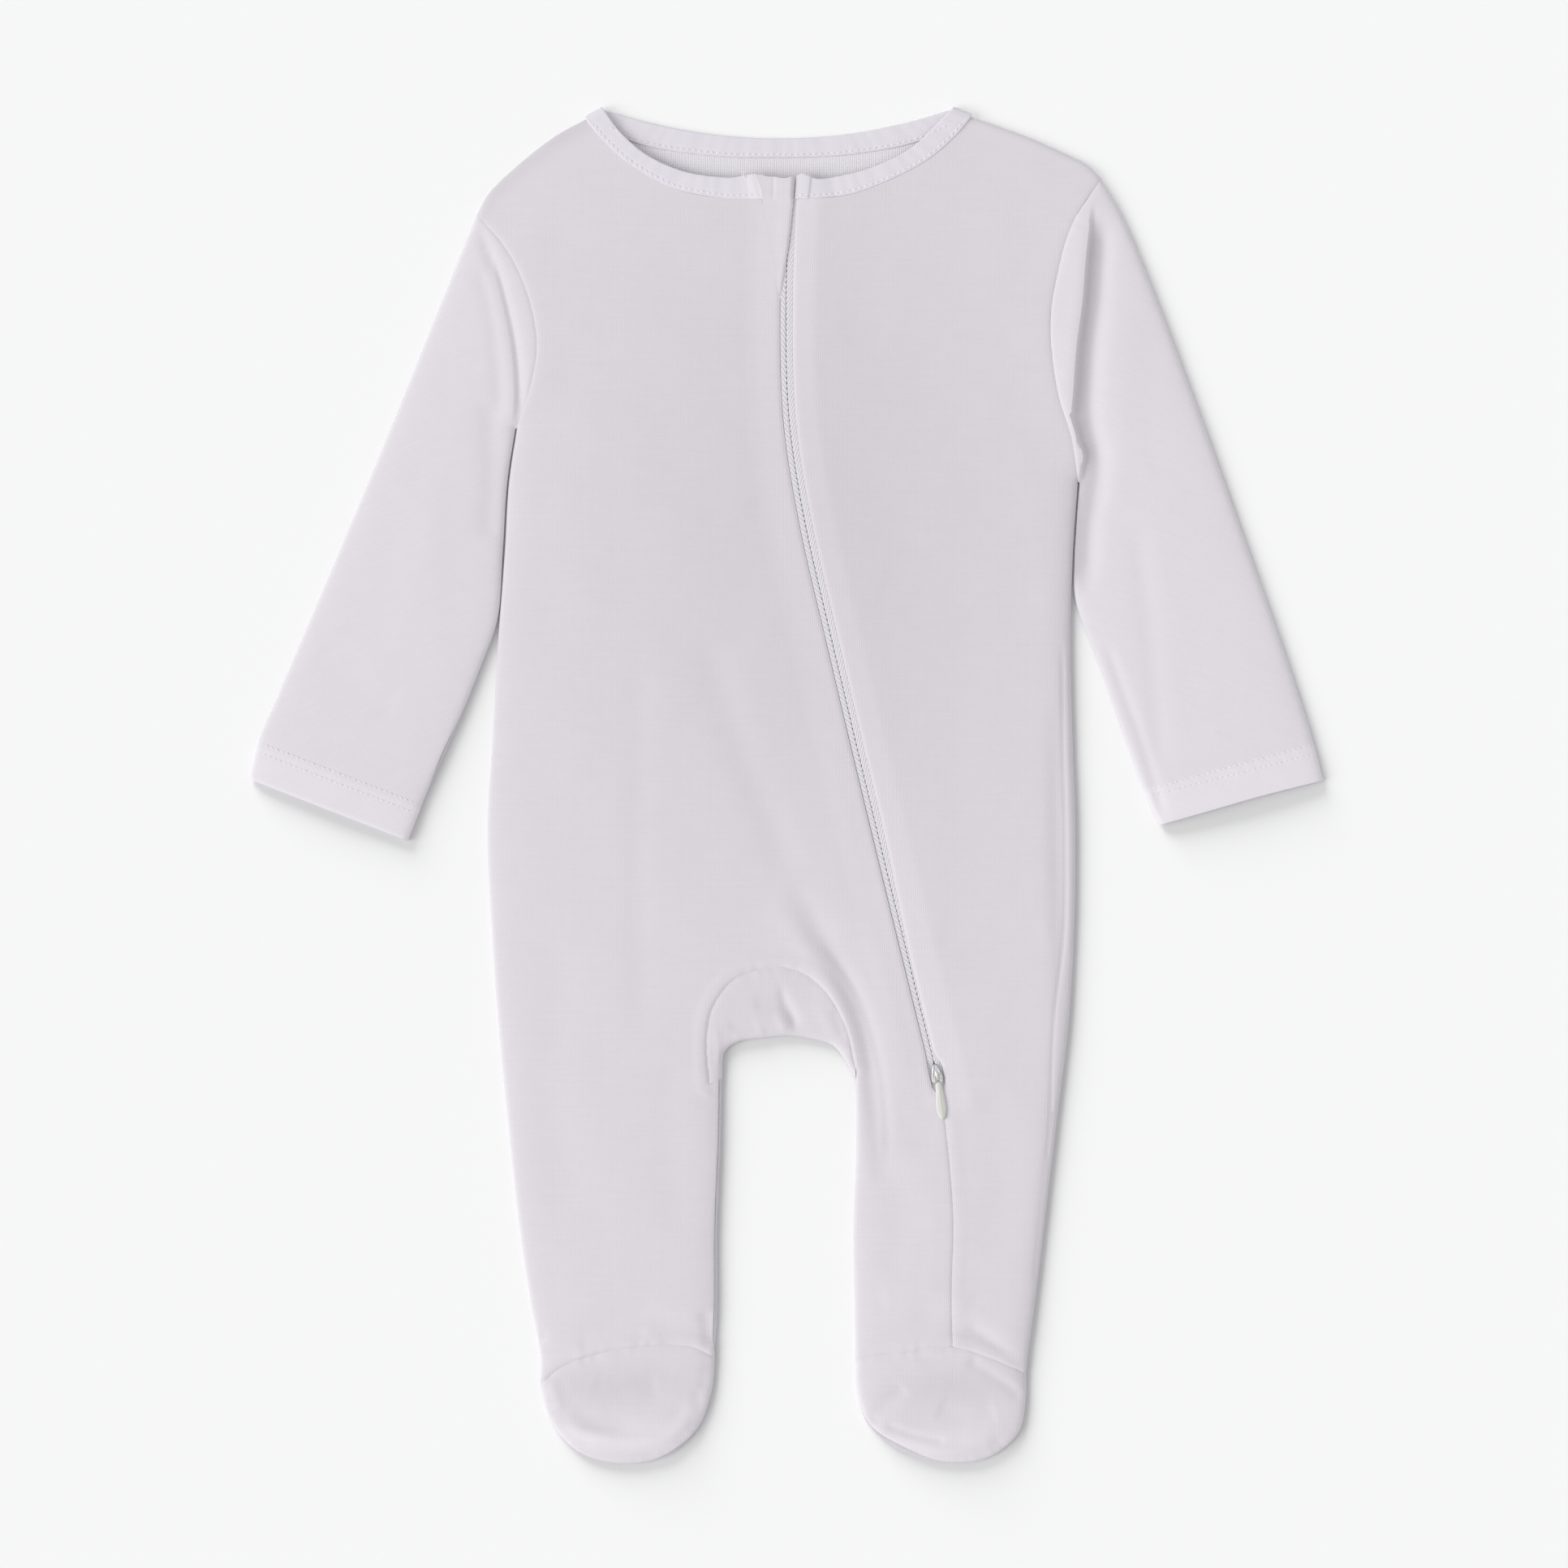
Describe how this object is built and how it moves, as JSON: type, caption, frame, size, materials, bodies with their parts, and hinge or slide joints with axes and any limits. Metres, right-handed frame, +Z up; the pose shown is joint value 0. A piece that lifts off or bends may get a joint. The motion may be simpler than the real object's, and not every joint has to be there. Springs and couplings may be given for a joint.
{
  "type": "footed baby sleepsuit",
  "caption": "Footed long-sleeved baby sleepsuit in plain pale cotton, laid flat, with a curved front zip from the neck to one leg, a guard flap and a crotch gusset.",
  "frame": {"origin": "on the surface that the garment lies on, under the middle of its bounding box", "axes": "+X to the wearer's left (the picture's right), +Y from the feet to the neck, +Z up from the surface, out of the front"},
  "size_m": [0.4428, 0.5592, 0.0071],
  "materials": {
    "cotton_interlock": "fine matt interlock cotton",
    "zip_tape": "woven polyester tape, slight sheen",
    "slider_metal": "polished nickel plate",
    "pull_enamel": "glossy off-white enamel"
  },
  "bodies": {
    "garment": {"back_panel": "cotton_interlock", "front_right": "cotton_interlock", "front_left": "cotton_interlock", "crotch_gusset": "cotton_interlock", "sleeve_right": "cotton_interlock", "sleeve_left": "cotton_interlock", "foot_upper_right": "cotton_interlock", "foot_upper_left": "cotton_interlock", "foot_sole_right": "cotton_interlock", "foot_sole_left": "cotton_interlock", "neck_binding": "cotton_interlock", "zip_guard": "cotton_interlock", "zip_tape_right": "zip_tape", "zip_tape_left": "zip_tape", "zip_slider": "slider_metal"},
    "pull": {"zip_pull": "pull_enamel"}
  },
  "joints": [
    {"name": "zip_pull_hinge", "type": "hinge", "parent": "garment", "child": "pull", "pos_m": [0.06174, -0.119, 0.00567], "axis": [-0.9746, -0.2238, 0], "range_deg": [0, 150]}
  ]
}
